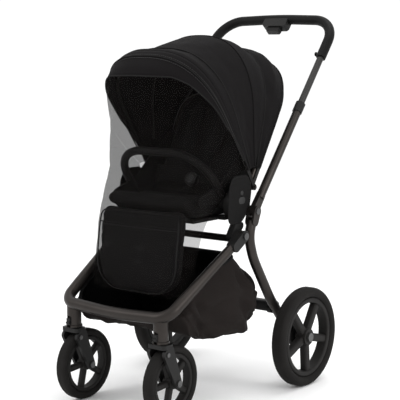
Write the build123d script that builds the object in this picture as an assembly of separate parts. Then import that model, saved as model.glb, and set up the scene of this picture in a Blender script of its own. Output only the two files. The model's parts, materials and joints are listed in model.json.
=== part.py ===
from build123d import *
from math import atan2, cos, degrees, radians, sin
import os

# Stroller. Millimetres, +Z up, front towards -Y, origin on the ground under the middle of the whole.
# +X is the left side for the person who pushes it.

# ---- Driving dimensions ----
SIDE_X = 213.0              # mid plane of the handle tubes and rear legs
FRONT_HUB = (157.0, -323.0, 100.0)
REAR_HUB = (260.7, 169.0, 145.0)
CORNER = (185.0, -370.0, 283.0)     # front corner of the chassis U
CHASSIS_PIVOT = (-76.0, 468.0)      # (y, z) where the rear legs swing on the hub brackets
HANDLE_PIVOT = (-22.0, 532.0)       # (y, z) where the handle folds on the rear legs
HANDLE_LEAN = 38.6          # handle's lean from upright, degrees
HANDLE_LENGTH = 687.0       # pivot to the middle of the push bar
HANDLE_FOLD = 149.0         # how far the handle turns forward when the stroller folds
SEAT_PIVOT = (-68.0, 552.0)         # middle of the seat's side hubs
RECLINE_PIVOT = (0.0, 560.0)
BACK_LEAN = 28.7            # backrest's lean from upright, degrees
LEG_REST_PIVOT = (-240.0, 528.0)
BUMPER_PIVOT = (-84.0, 556.0)
SWIVEL_Y = -361.5           # caster axis, ahead of the front hub by the trail

# ---- Clearances and hardware ----
GAP = 0.5                   # between parts that slide past each other
FACE_GAP = 0.3              # between faces that turn on each other
RUNNING = 0.05              # radial, pin in its bore
PIN_R = 5.0
BOLT_R = 6.0

# ---- Tubes ----
HANDLE_TUBE_R = 12.3
INNER_TUBE_R = 10.0
GRIP_R = 15.0
LEG_TUBE_R = 14.0
FRONT_TUBE_R = 12.5
CROSSBAR_R = 16.0
BUMPER_R = 11.5
BACK_TUBE_R = 9.0

# ---- Wheels: sizes, and the angle of the first spoke from upright ----
REAR_WHEEL = dict(radius=145.0, tyre_depth=29.0, tyre_width=44.0, rim_depth=15.0, rim_width=34.0,
                  hub_r=24.0, spoke=24.0, bore=BOLT_R, first=32.0)
FRONT_WHEEL = dict(radius=100.0, tyre_depth=21.0, tyre_width=34.0, rim_depth=11.0, rim_width=27.0,
                   hub_r=17.0, spoke=17.0, bore=PIN_R, first=50.0)
SPOKES = 5

# ---- Fork ----
FORK_GAP = 42.0             # clear width between the arms
FORK_ARM = 9.0
CROWN_LOW, CROWN_TOP = 201.0, 212.5
STEM_R, STEM_TOP = 8.0, 250.0
POST_R, POST_LOW = 20.0, 213.5

# ---- Seat and hood ----
SEAT_HALF = 150.0
CUSHION_HALF = 145.0
SEAT_HUB_R = 43.0
SEAT_HUB_IN, SEAT_HUB_OUT = 172.0, 197.0
BACK_HALF = 166.0           # to the middle of the backrest's side tubes
BACK_TOP = 318.0
PAD_HALF = 152.0
PAD_FRONT = 45.0            # cushion's face, out from the middle of the backrest's tubes
HOOD_UP = 38.0              # hood pivot above the recline pivot, along the backrest
HOOD_ANGLES = dict(front=122.0, mid=92.0, rear=58.0)    # from +Y, rising
BRIM_ANGLE = 135.0
BOW_X = dict(front=184.2, mid=180.2, rear=176.2)        # inner face of each bow's side strip
BOW_HEIGHT = dict(front=424.0, mid=419.0, rear=414.0)
BOW_T, BOW_W = 3.0, 12.0
HOOD_T = 1.5
HOOD_CORNER = 165.0

STANDING = (Align.CENTER, Align.CENTER, Align.MIN)
parts = {}


# ---- Helpers ----
def fused(*shapes):
    """One shape from several."""
    whole = shapes[0]
    for shape in shapes[1:]:
        whole = whole + shape
    return whole


def rod_x(x0, x1, y, z, r):
    """Round bar along X."""
    middle = Location(((x0 + x1) / 2, y, z))
    return middle * Rotation(0, 90, 0) * Cylinder(r, abs(x1 - x0))


def box(x, y, z):
    """Box from (low, high) pairs."""
    size = (x[1] - x[0], y[1] - y[0], z[1] - z[0])
    return Location(((x[0] + x[1]) / 2, (y[0] + y[1]) / 2, (z[0] + z[1]) / 2)) * Box(*size)


def plate(sketch, x0, x1):
    """A (y, z) sketch made solid from x0 to x1."""
    return extrude(Plane.YZ.offset(min(x0, x1)) * sketch, abs(x1 - x0))


def outline(*points):
    """Closed (y, z) polygon."""
    return make_face(Polyline(*points, close=True))


def disc(centre, r):
    return Pos(*centre) * Circle(r)


def link(a, ra, b, rb):
    """Two discs and the straight web around them, as a (y, z) sketch."""
    return make_hull(disc(a, ra).edges() + disc(b, rb).edges())


def tube(points, radii, r, bore=0.0):
    """Round tube along straight runs joined by arcs."""
    path = FilletPolyline(*points, radius=radii) if radii else Polyline(*points)
    section = Circle(r) - Circle(bore) if bore else Circle(r)
    return sweep(Plane(path @ 0, z_dir=path % 0) * section, path=path)


def along(origin, angle, distance):
    """(y, z) point at a distance from origin, angle from +Y."""
    return (origin[0] + distance * cos(radians(angle)), origin[1] + distance * sin(radians(angle)))


def mirrored(shape):
    return mirror(shape, Plane.YZ)


def pair(name, left):
    """The left piece and its mirror image as two nodes."""
    parts[name + "_left"] = left
    parts[name + "_right"] = mirrored(left)


def group(name, left):
    """The left piece and its mirror image as separate solids in one node."""
    parts[name] = Compound(children=[*left.solids(), *mirrored(left).solids()])


HANDLE_ANGLE = 90.0 - HANDLE_LEAN
HANDLE_DIR = along((0, 0), HANDLE_ANGLE, 1.0)
HANDLE = Plane(origin=(0, *HANDLE_PIVOT), x_dir=(1, 0, 0), z_dir=(0, -HANDLE_DIR[1], HANDLE_DIR[0]))
BACK_ANGLE = 90.0 - BACK_LEAN
BACK_DIR = along((0, 0), BACK_ANGLE, 1.0)
BACK = Plane(origin=(0, *RECLINE_PIVOT), x_dir=(1, 0, 0), z_dir=(0, -BACK_DIR[1], BACK_DIR[0]))
BUCKLE = Plane(origin=BACK.from_local_coords(Vector(0, 26, PAD_FRONT + FACE_GAP)), x_dir=(1, 0, 0),
               z_dir=BACK.z_dir)
HOOD_PIVOT = along(RECLINE_PIVOT, BACK_ANGLE, HOOD_UP)


# ---- Chassis: front U, hub brackets, seat adaptors, caster posts ----
def front_frame():
    """Round U tube: two legs that widen towards the front corners, and a slightly bowed crossbar."""
    slope = atan2(CORNER[2] - CHASSIS_PIVOT[1], CORNER[1] - CHASSIS_PIVOT[0])
    top = along(CHASSIS_PIVOT, degrees(slope), 19.0)
    start = Vector(SIDE_X - 3.0, *top)
    corner = Vector(*CORNER)
    middle = Vector(0, CORNER[1] - 7.0, CORNER[2] - 8.0)
    bend_from = corner + (start - corner).normalized() * 75.0
    other = Vector(-bend_from.X, bend_from.Y, bend_from.Z)
    far_corner = Vector(-corner.X, corner.Y, corner.Z)
    bar = tube([bend_from, corner, middle, far_corner, other], [45.0, 1200.0, 45.0], CROSSBAR_R)
    run = (start - bend_from).length
    leg = Plane(bend_from, z_dir=start - bend_from) * Cone(
        CROSSBAR_R, FRONT_TUBE_R, run, align=STANDING)
    return fused(bar, leg, mirrored(leg))


def hub_bracket(frame):
    """Clevis on the end of the front leg that holds the rear leg's lug."""
    slope = degrees(atan2(CORNER[2] - CHASSIS_PIVOT[1], CORNER[1] - CHASSIS_PIVOT[0]))
    arm = along(CHASSIS_PIVOT, slope, 46.0)
    whole = plate(link(CHASSIS_PIVOT, 16.0, arm, 15.0), 198.0, 224.0)
    slot = plate(disc(CHASSIS_PIVOT, 17.5), 208.0, 218.0)
    return whole - slot - rod_x(190, 230, *CHASSIS_PIVOT, BOLT_R) - frame


def hub_pin():
    """Shouldered bolt and nut through the hub bracket."""
    return fused(
        rod_x(194.4, 227.6, *CHASSIS_PIVOT, BOLT_R),
        rod_x(224.0, 228.0, *CHASSIS_PIVOT, 10.0),
        rod_x(194.0, 198.0, *CHASSIS_PIVOT, 9.0),
    )


def seat_adaptor(bracket, frame):
    """Plate on the bracket's inner face with the tongue that the seat plugs onto."""
    low = (-96.0, 466.0)
    foot = plate(make_hull(disc(low, 13.0).edges() + disc((-78, 490), 14.0).edges()
                           + disc((-60, 494), 10.0).edges()), 180.0, 198.0)
    tongue = box((180, 190), (-84, -52), (480, 546))
    return foot + tongue - rod_x(190, 200, *CHASSIS_PIVOT, 11.0) - bracket - frame


def caster_post(frame):
    """Round post under the crossbar with the bore for the fork's stem."""
    x = FRONT_HUB[0]
    post = Pos(x, SWIVEL_Y, POST_LOW) * Cylinder(POST_R, 70.0, align=STANDING)
    lip = Pos(x, SWIVEL_Y, POST_LOW) * Cylinder(POST_R + 3, 6.0, align=STANDING)
    bore = Pos(x, SWIVEL_Y, POST_LOW) * Cylinder(
        STEM_R + RUNNING, STEM_TOP - POST_LOW + 1, align=STANDING)
    slot = box((x - 6.5, x + 6.5), (SWIVEL_Y - POST_R - 5, SWIVEL_Y - POST_R + 5.5), (214, 246))
    return post + lip - bore - slot - frame


def swivel_lock():
    """Thumb slider in the front of the caster post."""
    x = FRONT_HUB[0]
    body = box((x - 6, x + 6), (SWIVEL_Y - POST_R - 5, SWIVEL_Y - POST_R + 5), (222, 240))
    ridge = box((x - 6, x + 6), (SWIVEL_Y - POST_R - 8, SWIVEL_Y - POST_R - 5), (226, 230))
    return body + ridge


frame_solid = front_frame()
parts["front_frame"] = frame_solid
bracket_solid = hub_bracket(frame_solid)
group("hub_brackets", bracket_solid)
group("hub_pins", hub_pin())
group("seat_adaptors", seat_adaptor(bracket_solid, frame_solid))
pair("caster_post", caster_post(frame_solid))
pair("swivel_lock", swivel_lock())


# ---- Basket ----
def basket():
    """Open-topped soft basket under the seat."""
    outer = outline((-336, 262), (-300, 302), (-219, 356), (-180, 381), (-57, 407), (-2, 268),
                    (-38, 205), (-105, 186), (-207, 194), (-325, 240))
    inner = offset(outer, amount=-5.0, kind=Kind.INTERSECTION)
    rim = outline((-331, 272), (-300, 306), (-219, 360), (-180, 385), (-62, 411), (-62, 380), (-180, 340),
                  (-310, 262))
    solid = plate(outer, -198.0, 198.0)
    hollow = plate(inner, -193.0, 193.0)
    mouth = plate(rim, -193.0, 193.0)
    return solid - hollow - mouth


parts["basket"] = basket()


# ---- Front casters ----
def front_fork():
    """Swivel stem, crown over the wheel and an arm down each side to the axle."""
    x, y, z = FRONT_HUB
    stem = Pos(x, SWIVEL_Y, CROWN_TOP) * Cylinder(
        STEM_R, STEM_TOP - CROWN_TOP, align=STANDING)
    half = FORK_GAP / 2 + FORK_ARM
    crown = box((x - half, x + half), (SWIVEL_Y - 22, SWIVEL_Y + 18), (CROWN_LOW, CROWN_TOP))
    crown = fillet(crown.edges().filter_by(Axis.Z), 10.0)
    shape = make_hull(disc((SWIVEL_Y - 8, CROWN_LOW - 14), 13.0).edges() + disc((y, z), 13.0).edges()
                      + disc((SWIVEL_Y + 6, CROWN_LOW - 4), 12.0).edges())
    arm = plate(shape, x + FORK_GAP / 2, x + half)
    other = plate(shape, x - half, x - FORK_GAP / 2)
    bore = rod_x(x - 40, x + 40, y, z, PIN_R)
    return fused(stem, crown, arm, other) - bore


def front_axle():
    """Axle bolt with a cap each side, and the two clamp bolts at the top of the arms."""
    x, y, z = FRONT_HUB
    half = FORK_GAP / 2 + FORK_ARM
    axle = fused(rod_x(x - half - 3, x + half + 3, y, z, PIN_R),
                 rod_x(x + half, x + half + 4, y, z, 9.0),
                 rod_x(x - half - 4, x - half, y, z, 9.0))
    bolt_at = (SWIVEL_Y - 6, CROWN_LOW - 14)
    heads = [rod_x(x + half, x + half + 2.5, *bolt_at, 6.0), rod_x(x - half - 2.5, x - half, *bolt_at, 6.0)]
    return Compound(children=[axle, *heads])


pair("front_fork", front_fork())
pair("front_axle", front_axle())


# ---- Wheels ----
def ring(x, y, z, outer, inner, width, rounding):
    """Ring about X with rounded corners."""
    section = Pos((outer + inner) / 2, 0) * RectangleRounded(outer - inner, width, rounding)
    return Location((x, y, z)) * Rotation(0, 90, 0) * revolve(Plane.XZ * section, Axis.Z)


def tyre(hub, size):
    x, y, z = hub
    inner = size["radius"] - size["tyre_depth"]
    return ring(x, y, z, size["radius"], inner, size["tyre_width"], size["tyre_depth"] * 0.45)


def rim(hub, size):
    """Rim ring, hub and five thick spokes, bored for the axle."""
    x, y, z = hub
    rim_out = size["radius"] - size["tyre_depth"]
    rim_in = rim_out - size["rim_depth"]
    wheel = ring(x, y, z, rim_out, rim_in, size["rim_width"], size["rim_depth"] * 0.3)
    half = size["rim_width"] / 2
    wheel = wheel + rod_x(x - half, x + half, y, z, size["hub_r"])
    reach = rim_in + size["rim_depth"] / 2
    start = size["hub_r"] * 0.6
    spoke = Pos(0, (reach + start) / 2, 0) * Box(size["spoke"], reach - start, size["spoke"])
    spoke = fillet(spoke.edges().filter_by(Axis.Y), size["spoke"] * 0.3)
    for i in range(SPOKES):
        angle = 90.0 - size["first"] - i * 360.0 / SPOKES
        wheel = wheel + Location((x, y, z)) * Rotation(angle, 0, 0) * spoke
    return wheel - rod_x(x - half - 5, x + half + 5, y, z, size["bore"] + RUNNING)


for name, hub, size in (("rear", REAR_HUB, REAR_WHEEL), ("front", FRONT_HUB, FRONT_WHEEL)):
    pair(name + "_rim", rim(hub, size))
    pair(name + "_tyre", tyre(hub, size))


# ---- Rear legs, cross members and brake ----
def rear_leg():
    """Bent tube from the handle's fold joint, past the hub bracket, to the rear axle."""
    top = along(HANDLE_PIVOT, 251.0, 17.0)
    path = [(SIDE_X, *top), (SIDE_X, -46, 462), (SIDE_X, -26, 400), (SIDE_X, 60, 270), (SIDE_X, 163, 152)]
    leg = tube(path, [80.0, 200.0, 500.0], LEG_TUBE_R)
    root = along(HANDLE_PIVOT, 251.0, 30.0)
    cheek = link(HANDLE_PIVOT, 15.0, root, 13.0)
    cheeks = plate(cheek, 199.0, 205.5) + plate(cheek, 220.5, 227.0)
    lug = plate(link(CHASSIS_PIVOT, 14.0, (-44, 466), 12.0), 208.0 + FACE_GAP, 218.0 - FACE_GAP)
    boss = rod_x(199.0, 233.0, REAR_HUB[1], REAR_HUB[2], 19.0)
    folded_tongue = link(HANDLE_PIVOT, 15.5, along(HANDLE_PIVOT, HANDLE_ANGLE + HANDLE_FOLD, 56.0), 13.5)
    tongue_room = plate(folded_tongue, 205.5, 220.5)
    bores = rod_x(190, 240, *CHASSIS_PIVOT, BOLT_R + RUNNING) + rod_x(190, 240, *HANDLE_PIVOT, PIN_R)
    axle_bore = rod_x(210, 240, REAR_HUB[1], REAR_HUB[2], BOLT_R)
    return fused(leg, cheeks, lug, boss) - tongue_room - bores - axle_bore


def rear_cross_tube(leg):
    """Upper cross tube between the two rear legs."""
    return rod_x(-203.0, 203.0, -44.0, 451.0, 10.0) - leg - mirrored(leg)


def rear_cross_member(leg):
    """Moulded lower cross member with a plate at each end on the rear leg."""
    beam = fillet(box((-192, 192), (90, 122), (221, 253)).edges().filter_by(Axis.X), 9.0)
    end = plate(link((106, 237), 16.0, (88, 236), 15.0), 191.0, 204.0)
    ribs = box((-52, -46), (118, 138), (222, 246)) + box((46, 52), (118, 138), (222, 246))
    knuckles = rod_x(-52, -46, 132, 234, 10.0) + rod_x(46, 52, 132, 234, 10.0)
    bore = rod_x(-60, 60, 132, 234, PIN_R + RUNNING)
    return fused(beam, end, mirrored(end), ribs, knuckles) - bore - leg - mirrored(leg)


def brake_pedal():
    """Foot paddle that turns on its own cross shaft."""
    shaft = rod_x(-53.5, 53.5, 132, 234, PIN_R)
    hub = rod_x(-45.5, 45.5, 132, 234, 9.0)
    paddle = plate(outline((134, 243), (182, 246), (188, 240), (182, 235), (138, 226)), -45.0, 45.0)
    return fused(shaft, hub, paddle)


def brake_housing(leg):
    """Drum cover inside the rear wheel, with an arm back to the leg."""
    drum = rod_x(227.5, 236.5, REAR_HUB[1], REAR_HUB[2], 36.0)
    arm = plate(link((112, 196), 10.0, (150, 160), 16.0), 227.5, 232.5)
    return drum + arm - leg - rod_x(220, 240, REAR_HUB[1], REAR_HUB[2], BOLT_R)


def rear_axle():
    """Stub axle with a collar and an outer cap."""
    _, y, z = REAR_HUB
    half = REAR_WHEEL["rim_width"] / 2
    return fused(rod_x(214.0, 284.0, y, z, BOLT_R),
                 rod_x(REAR_HUB[0] + half + GAP, REAR_HUB[0] + half + 7.0, y, z, 13.0))


leg_solid = rear_leg()
pair("rear_leg", leg_solid)
parts["rear_cross_tube"] = rear_cross_tube(leg_solid)
parts["rear_cross_member"] = rear_cross_member(leg_solid)
parts["brake_pedal"] = brake_pedal()
group("brake_housings", brake_housing(leg_solid))
group("rear_axles", rear_axle())


# ---- Handle ----
def handle_tube():
    """Lower handle tube: flat tongue in the fold joint, then a hollow tube for the sliding inner one."""
    tongue = plate(link(HANDLE_PIVOT, 14.0, along(HANDLE_PIVOT, HANDLE_ANGLE, 54.0), 12.0),
                   205.5 + FACE_GAP, 220.5 - FACE_GAP)
    start = Vector(SIDE_X, *along(HANDLE_PIVOT, HANDLE_ANGLE, 44.0))
    end = Vector(SIDE_X, *along(HANDLE_PIVOT, HANDLE_ANGLE, 364.0))
    bore_from = Vector(SIDE_X, *along(HANDLE_PIVOT, HANDLE_ANGLE, 68.0))
    outer = tube([start, end], None, HANDLE_TUBE_R)
    bore = tube([bore_from, end], None, INNER_TUBE_R + RUNNING)
    return outer + tongue - bore - rod_x(190, 240, *HANDLE_PIVOT, PIN_R + RUNNING)


def handle_pin():
    """Rivet through the fold joint with a flat head each side."""
    return fused(rod_x(196.9, 229.1, *HANDLE_PIVOT, PIN_R),
                 rod_x(227.0, 229.0, *HANDLE_PIVOT, 9.0),
                 rod_x(197.0, 199.0, *HANDLE_PIVOT, 9.0))


def telescope_collar():
    """Plastic collar at the top of the lower tube."""
    low = Vector(SIDE_X, *along(HANDLE_PIVOT, HANDLE_ANGLE, 340.0))
    rim_at = Vector(SIDE_X, *along(HANDLE_PIVOT, HANDLE_ANGLE, 364.0))
    top = Vector(SIDE_X, *along(HANDLE_PIVOT, HANDLE_ANGLE, 372.0))
    sleeve = tube([low, rim_at], None, HANDLE_TUBE_R + 2.2, HANDLE_TUBE_R)
    ring_top = tube([rim_at, top], None, HANDLE_TUBE_R + 2.2, INNER_TUBE_R + RUNNING)
    return sleeve + ring_top


def handle_loop(low, r, bore=0.0):
    """The U of the upper handle, from a height above the pivot, round the push bar and down again."""
    points = [(SIDE_X, low), (SIDE_X, HANDLE_LENGTH - 6), (0, HANDLE_LENGTH + 3),
              (-SIDE_X, HANDLE_LENGTH - 6), (-SIDE_X, low)]
    return tube([HANDLE.from_local_coords(Vector(x, y, 0)) for x, y in points], [82.0, 1500.0, 82.0], r, bore)


def grip_housing():
    """Housing clipped under the middle of the push bar, with the pocket for the release button."""
    bar = HANDLE_LENGTH
    body = fillet(Box(86.0, 38.0, 28.0).edges().filter_by(Axis.Z), 9.0)
    body = HANDLE * Pos(0, bar - 15.0, 0) * body
    pocket = HANDLE * Pos(0, bar - 31.0, 0) * Box(46.0 + GAP, 18.0, 18.0 + GAP)
    return body - handle_loop(540.0, GRIP_R + RUNNING) - pocket


def release_button():
    """Push button in the underside of the grip housing."""
    stem = HANDLE * Pos(0, HANDLE_LENGTH - 37.0, 0) * Box(46.0 - GAP, 18.0, 18.0 - GAP)
    face = fillet(Box(44.0, 6.0, 16.0).edges().filter_by(Axis.Z), 2.5)
    return stem + HANDLE * Pos(0, HANDLE_LENGTH - 48.0, 0) * face


def strap_stud():
    """Small stud for a wrist strap, on the inner side of the left grip's end."""
    x = SIDE_X - GRIP_R
    y, z = along(HANDLE_PIVOT, HANDLE_ANGLE, 553.0)
    return rod_x(x - 5, x + 2, y, z, 4.0) + rod_x(x - 8, x - 5, y, z, 6.5)


pair("handle_tube", handle_tube())
group("handle_pins", handle_pin())
group("telescope_collars", telescope_collar())
parts["handle_bar"] = handle_loop(190.0, INNER_TUBE_R)
grip_solid = handle_loop(540.0, GRIP_R, INNER_TUBE_R + RUNNING)
parts["handle_grip"] = grip_solid
parts["grip_housing"] = grip_housing()
parts["release_button"] = release_button()
parts["strap_stud"] = strap_stud() - grip_solid


# ---- Seat ----
def seat_hub():
    """Side hub: round housing with the adaptor's socket, the button's pocket and the bumper's stub pin."""
    shell = rod_x(SEAT_HUB_IN, SEAT_HUB_OUT, *SEAT_PIVOT, SEAT_HUB_R)
    shell = fillet(shell.edges().group_by(Axis.X)[-1], 6.0)
    flange = box((SEAT_HALF, SEAT_HUB_IN), (-104, -32), (512, 522))
    stub = rod_x(160.0, SEAT_HUB_IN, *BUMPER_PIVOT, PIN_R)
    socket = box((180 - GAP, 190 + GAP), (-84 - GAP, -52 + GAP), (480, 546 + GAP))
    pocket = box((191.5, 200), (-74, -44), (554, 574))
    return fused(shell, flange, stub) - socket - pocket


def seat_button():
    """Oval push button in the seat hub."""
    return plate(Pos(-59.0, 564.0) * RectangleRounded(29.0, 19.0, 9.0), 194.2, 199.2)


def seat_base():
    """Seat board with lugs for the leg rest in front and the backrest behind."""
    board = box((-SEAT_HALF, SEAT_HALF), (-214, 4), (512, 519))
    front = plate(link(LEG_REST_PIVOT, 8.0, (-208, 516), 4.0), 126.0, 136.0)
    front_pin = rod_x(116.0, 126.0, *LEG_REST_PIVOT, 4.0)
    rear = plate(make_hull(disc(RECLINE_PIVOT, 12.0).edges() + disc((-24, 517), 5.0).edges()
                           + disc((0, 517), 5.0).edges()), 140.0, SEAT_HALF)
    rear_pin = rod_x(SEAT_HALF, 172.0, *RECLINE_PIVOT, PIN_R)
    side = fused(front, front_pin, rear, rear_pin)
    return fused(board, side, mirrored(side))


def seat_pad(base):
    """Seat cushion with a roll over the front edge."""
    shape = outline((-258, 548), (-258, 562), (-250, 573), (-235, 576), (-150, 566), (-30, 558), (-22, 552),
                    (-22, 519), (-206, 519), (-218, 548))
    return plate(shape, -CUSHION_HALF, CUSHION_HALF) - base


def crotch_strap():
    """Short strap standing on the seat cushion in front of the buckle."""
    return plate(outline((-66, 562), (-47, 584), (-45, 582), (-64, 560.5)), -15.0, 15.0)


def leg_rest_panel():
    """Stiff board behind the leg rest cushion, with the hinge barrel on top."""
    barrel = rod_x(-125.5, 125.5, *LEG_REST_PIVOT, 9.0)
    board = plate(outline((-244, 520), (-236, 520), (-246, 330), (-254, 330)), -125.0, 125.0)
    lower = plate(outline((-249, 470), (-239, 470), (-246, 330), (-254, 330)), -140.0, 140.0)
    bore = rod_x(115.5, 130, *LEG_REST_PIVOT, 4.0 + RUNNING)
    return fused(barrel, board, lower) - bore - mirrored(bore)


def leg_rest_pad(panel):
    """Leg rest cushion, wrapped over its board."""
    barrel = disc(LEG_REST_PIVOT, 17.5)
    lower = make_hull(disc((-241, 500), 17.5).edges() + disc((-261, 332), 17.5).edges())
    upper = make_hull(barrel.edges() + disc((-241, 500), 17.5).edges())
    pad = plate(upper, -112.0, 112.0) + plate(lower, -SEAT_HALF, SEAT_HALF)
    return pad - panel


def bumper_bar():
    """U bar across the front of the seat, on a fitting at each hub."""
    angle = 127.0
    reach = 178.0
    frame = Plane(origin=(0, *BUMPER_PIVOT), x_dir=(1, 0, 0),
                  z_dir=(0, -sin(radians(angle)), cos(radians(angle))))
    side = 159.0
    points = [(side, 8), (side, reach), (-side, reach), (-side, 8)]
    bar = tube([frame.from_local_coords(Vector(x, y, 0)) for x, y in points], [105.0, 105.0], BUMPER_R)
    fitting = rod_x(149.0, SEAT_HUB_IN - FACE_GAP, *BUMPER_PIVOT, 15.0)
    bore = rod_x(156.0, 175.0, *BUMPER_PIVOT, PIN_R + RUNNING)
    return fused(bar, fitting, mirrored(fitting)) - bore - mirrored(bore)


group("seat_hubs", seat_hub())
pair("seat_button", seat_button())
base_solid = seat_base()
parts["seat_base"] = base_solid
parts["seat_pad"] = seat_pad(base_solid)
parts["crotch_strap"] = crotch_strap()
leg_panel_solid = leg_rest_panel()
parts["leg_rest_panel"] = leg_panel_solid
parts["leg_rest_pad"] = leg_rest_pad(leg_panel_solid)
parts["bumper_bar"] = bumper_bar()


# ---- Backrest ----
def on_back(x, y, z):
    """Box from (low, high) pairs across, up and out of the backrest."""
    return BACK.location * box(x, y, z)


def backrest_frame():
    """U tube with a boss on the recline pins and a stub pin for the hood's bows."""
    points = [(BACK_HALF, 0), (BACK_HALF, BACK_TOP), (-BACK_HALF, BACK_TOP), (-BACK_HALF, 0)]
    loop = tube([BACK.from_local_coords(Vector(x, y, 0)) for x, y in points], [60.0, 60.0], BACK_TUBE_R)
    boss = rod_x(SEAT_HALF + FACE_GAP, 176.0, *RECLINE_PIVOT, 12.0)
    stub = rod_x(BACK_HALF, 190.5, *HOOD_PIVOT, PIN_R)
    bore = rod_x(140.0, 172.5, *RECLINE_PIVOT, PIN_R + RUNNING)
    return fused(loop, boss, mirrored(boss), stub, mirrored(stub)) - bore - mirrored(bore)


def backrest_panel(frame):
    """Board inside the backrest's tube, with its top corners rounded like the tube."""
    board = box((-BACK_HALF, BACK_HALF), (16, BACK_TOP), (-3, 3))
    top_corners = board.edges().filter_by(Axis.Z).group_by(Axis.Y)[-1]
    return BACK.location * fillet(top_corners, 60.0) - frame


def backrest_pad(frame):
    """Back cushion, wrapped a little round the top of the frame."""
    pad = on_back((-PAD_HALF, PAD_HALF), (16, BACK_TOP + 2), (3, PAD_FRONT))
    return fillet(pad.edges().filter_by(Axis.X), 12.0) - frame


def recline_handle():
    """Pull handle behind the top of the backrest."""
    bar = on_back((-38, 38), (236, 248), (-19, -10))
    foot = on_back((28, 38), (236, 262), (-19, -3 - FACE_GAP))
    return fused(bar, foot, mirrored(foot))


def harness_straps():
    """Left shoulder strap and waist strap, lying on the back cushion."""
    face = (PAD_FRONT + FACE_GAP, PAD_FRONT + FACE_GAP + 2.0)
    shoulder = on_back((34, 60), (36, 268), face)
    waist = on_back((24, 140), (14.5, 36), face)
    return fused(shoulder, waist)


def buckle():
    """Round buckle with a well for its button."""
    well = Pos(0, 0, 6) * Cylinder(11.5, 10.0, align=STANDING)
    return BUCKLE.location * (Cylinder(20.0, 13.0, align=STANDING) - well)


def buckle_button():
    return BUCKLE.location * Pos(0, 0, 9.2) * Cylinder(11.0, 5.0, align=STANDING)


parts["backrest_frame"] = backrest_frame()
parts["backrest_panel"] = backrest_panel(parts["backrest_frame"])
parts["backrest_pad"] = backrest_pad(parts["backrest_frame"])
parts["recline_handle"] = recline_handle()
group("harness_straps", harness_straps())
parts["buckle"] = buckle()
parts["buckle_button"] = buckle_button()


# ---- Hood ----
def hood_arch(half, height, corner, thickness):
    """Arch band in (across, up): straight sides and round shoulders."""
    inner_half = half - thickness
    inner_height = height - thickness
    inner_corner = corner - thickness
    outer = Pos(0, height / 2) * Rectangle(2 * half, height)
    outer = fillet(outer.vertices().group_by(Axis.Y)[-1], corner)
    inner = Pos(0, inner_height / 2) * Rectangle(2 * inner_half, inner_height)
    inner = fillet(inner.vertices().group_by(Axis.Y)[-1], inner_corner)
    return outer - inner


def hood_plane(angle):
    """Plane across the hood at an angle from +Y, rising, through the hood's pivot."""
    direction = along((0, 0), angle, 1.0)
    return Plane(origin=(0, *HOOD_PIVOT), x_dir=(1, 0, 0), z_dir=(0, -direction[1], direction[0]))


def bow(which):
    """Flat bow: an arch band with a disc round the pivot at each end."""
    half = BOW_X[which] + BOW_T
    band = hood_arch(half, BOW_HEIGHT[which] + BOW_T, HOOD_CORNER, BOW_T)
    arch = hood_plane(HOOD_ANGLES[which]).location * extrude(band, BOW_W / 2, both=True)
    eye = rod_x(BOW_X[which], half, *HOOD_PIVOT, 9.0)
    bore = rod_x(BOW_X[which] - 5, half + 5, *HOOD_PIVOT, PIN_R + RUNNING)
    return fused(arch, eye, mirrored(eye)) - bore - mirrored(bore)


def hood_panel(low, high, layer):
    """Fabric between two angles, as a turned shell outside the bows."""
    out = layer * (HOOD_T + 0.4)
    half = BOW_X["front"] + BOW_T + 0.4 + HOOD_T + out
    height = BOW_HEIGHT["front"] + BOW_T + 0.8 + HOOD_T + out
    band = hood_arch(half, height, HOOD_CORNER, HOOD_T) - Rectangle(2 * half + 2, 70.0)
    axis = Axis((0, *HOOD_PIVOT), (1, 0, 0))
    return revolve(hood_plane(low).location * band, axis, high - low)


def hood_back():
    """Flat fabric panel inside the rear bow, above the backrest."""
    area = Rectangle(2 * (BOW_X["rear"] - 0.4), 2 * (BOW_HEIGHT["rear"] - 0.4))
    area = fillet(area.vertices().group_by(Axis.Y)[-1], HOOD_CORNER - 4)
    low_edge = BACK_TOP + BACK_TUBE_R + 2.0 - HOOD_UP
    area = area & Pos(0, low_edge + 200.0) * Rectangle(400.0, 400.0)
    return hood_plane(HOOD_ANGLES["rear"]).location * extrude(area, 1.0, both=True)


for which in ("front", "mid", "rear"):
    parts["hood_bow_" + which] = bow(which)
parts["hood_front_panel"] = hood_panel(HOOD_ANGLES["mid"] + 0.5, BRIM_ANGLE, 1)
parts["hood_mid_panel"] = hood_panel(HOOD_ANGLES["rear"], HOOD_ANGLES["mid"], 0)
parts["hood_back_panel"] = hood_back()


# ---- Insect net ----
def insect_net():
    """Net from the hood's front edge over the bumper bar to the foot of the leg rest, with a side each."""
    wide, narrow, thick, step = 185.0, 166.0, 1.5, 520.0
    top = along(HOOD_PIVOT, BRIM_ANGLE + 2.0, 424.0)
    low_end = along(HOOD_PIVOT, BRIM_ANGLE + 2.0, 62.0)
    upper = [top, (-268, 720), (-268, step)]
    lower = [(-268, step + thick), (-268, step), (-292, 400), (-294, 318)]
    net = None
    for front, rest, half in ((upper, [(-225, step), (-130, 604), low_end], wide),
                              (lower, [(-262, 318), (-225, 500), (-218, step + thick)], narrow)):
        back = [(y + thick, z) for y, z in reversed(front)]
        sheet = plate(outline(*front, *back), -half, half)
        side = plate(outline(*front, *rest), half - thick, half)
        piece = fused(sheet, side, mirrored(side))
        net = piece if net is None else net + piece
    ledge = box((narrow - thick, wide), (-268, -225), (step, step + thick))
    return fused(net, ledge, mirrored(ledge))


parts["insect_net"] = insect_net()

# ---- Write one STEP per node ----
os.makedirs("parts", exist_ok=True)
for node, shape in parts.items():
    export_step(shape, f"parts/{node}.step")
print(len(parts), "nodes written")
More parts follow.
